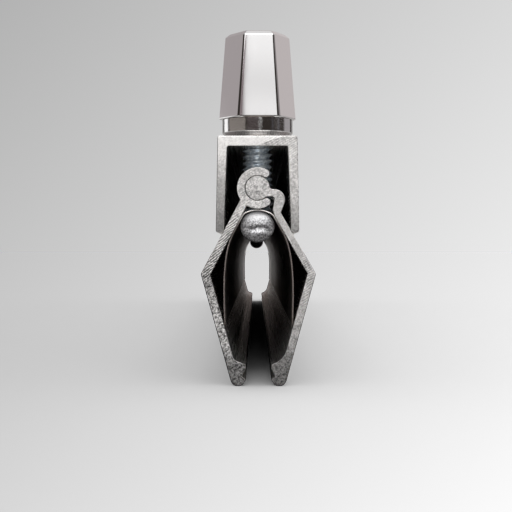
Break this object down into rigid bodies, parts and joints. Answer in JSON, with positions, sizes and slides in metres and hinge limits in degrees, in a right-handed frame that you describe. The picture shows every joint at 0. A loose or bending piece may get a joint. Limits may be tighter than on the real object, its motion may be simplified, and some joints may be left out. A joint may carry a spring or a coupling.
{
  "type": "hinged sheet clamp",
  "caption": "Long hinged clamp of extruded aluminium. Its knobs draw the jaws up into a channel, which wedges them shut on a stack of sheets.",
  "frame": {"origin": "on the surface that both toes stand on, under the hinge axis, halfway along the clamp", "axes": "+X from the socket jaw to the bead jaw, +Y along the clamp away from the end that is seen, +Z from the toes up to the knobs"},
  "size_m": [0.0229, 0.4572, 0.0718],
  "materials": {
    "channel_aluminium": "satin mill finish, saw-cut ends",
    "jaw_aluminium": "satin mill finish, rough saw-cut ends",
    "spring_steel": "dark smooth strip",
    "zinc_plated_steel": "bright zinc, mottled on the head",
    "knob_chrome": "bright polished plating",
    "bush_chrome": "bright turned and plated"
  },
  "bodies": {
    "channel": {"channel": "channel_aluminium"},
    "knob_front": {"knob_cap_front": "knob_chrome", "threaded_bush_front": "bush_chrome"},
    "knob_rear": {"knob_cap_rear": "knob_chrome", "threaded_bush_rear": "bush_chrome"},
    "hinge_bolts": {"t_bolt_front": "zinc_plated_steel", "t_bolt_rear": "zinc_plated_steel", "leaf_spring": "spring_steel"},
    "left_jaw": {"socket_jaw": "jaw_aluminium"},
    "right_jaw": {"bead_jaw": "jaw_aluminium"}
  },
  "joints": [
    {"name": "bolt_lift", "type": "slide", "parent": "channel", "child": "hinge_bolts", "axis": [0, 0, 1], "range_m": [-0.00381, 0.00144]},
    {"name": "knob_front_turn", "type": "hinge", "parent": "channel", "child": "knob_front", "pos_m": [0, -0.219, 0.0501], "axis": [0, 0, 1], "range_deg": [-409, 1081]},
    {"name": "knob_rear_turn", "type": "hinge", "parent": "channel", "child": "knob_rear", "pos_m": [0, 0.219, 0.0501], "axis": [0, 0, 1], "range_deg": [-409, 1081]},
    {"name": "left_jaw_swing", "type": "hinge", "parent": "hinge_bolts", "child": "left_jaw", "pos_m": [0, 0, 0.0396], "axis": [0, 1, 0], "range_deg": [-3.59, 9.47], "deforming": ["leaf_spring"]},
    {"name": "right_jaw_swing", "type": "hinge", "parent": "left_jaw", "child": "right_jaw", "pos_m": [0, 0, 0.0396], "axis": [0, 1, 0], "range_deg": [-19.43, 7.36]}
  ],
  "couplings": [
    {"joint": "knob_front_turn", "follows": "bolt_lift", "rad_per_m": -4947.4},
    {"joint": "knob_rear_turn", "follows": "bolt_lift", "rad_per_m": -4947.4},
    {"joint": "left_jaw_swing", "follows": "bolt_lift", "rad_per_m": -43.307},
    {"joint": "right_jaw_swing", "follows": "bolt_lift", "rad_per_m": 88.911}
  ]
}
